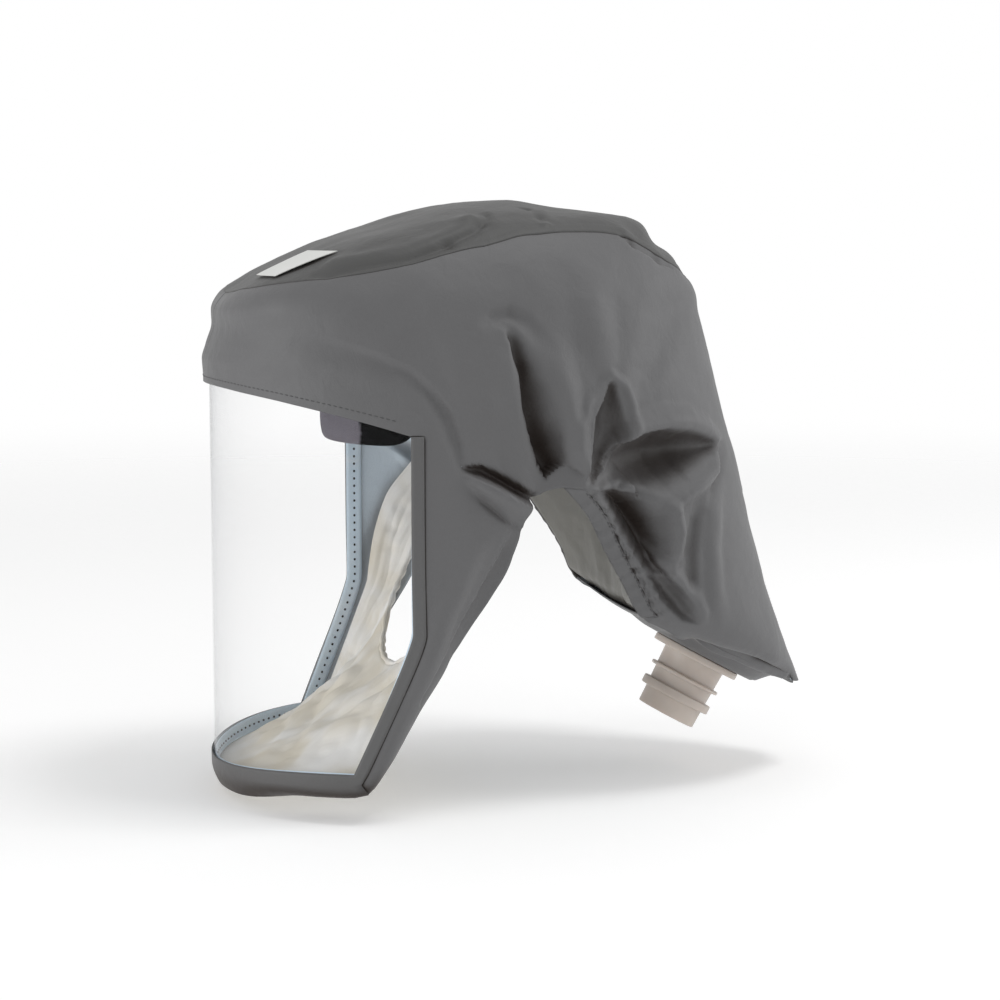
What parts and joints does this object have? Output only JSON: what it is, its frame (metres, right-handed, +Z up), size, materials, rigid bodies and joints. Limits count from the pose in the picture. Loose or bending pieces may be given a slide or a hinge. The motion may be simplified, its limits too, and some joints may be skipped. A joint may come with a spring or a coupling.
{
  "type": "disposable respirator hood",
  "caption": "Loose grey respirator hood with a curved clear window, inner face seal and tail that carries a ringed air-hose spigot.",
  "frame": {"origin": "inside top of the crown, where the wearer's head sits", "axes": "+Z up, the wearer looks along -Y, +X to the wearer's left"},
  "size_m": [0.2166, 0.3433, 0.3254],
  "materials": {
    "crown_cloth": "coated nonwoven, slightly darker on top",
    "hood_cloth": "coated nonwoven, matt with a soft sheen",
    "binding_cloth": "coated nonwoven, stitched",
    "clear_film": "thin clear film, glossy",
    "blue_tape": "matt blue-grey tape",
    "cream_cloth": "soft crumpled nonwoven",
    "spigot_plastic": "milky moulded plastic, satin",
    "label": "satin white patch",
    "pad_foam": "soft brushed foam",
    "band_plastic": "satin"
  },
  "bodies": {
    "root": {"crown_panel": "crown_cloth", "side_panel_left": "hood_cloth", "side_panel_right": "hood_cloth", "hem_casing_left": "hood_cloth", "hem_casing_right": "hood_cloth", "window_binding": "binding_cloth", "window": "clear_film", "inner_tape": "blue_tape", "face_seal": "cream_cloth", "neck_panel": "hood_cloth", "tail_floor": "hood_cloth", "hose_spigot": "spigot_plastic", "crown_label": "label", "brow_pad": "pad_foam", "head_band": "band_plastic"}
  },
  "joints": []
}
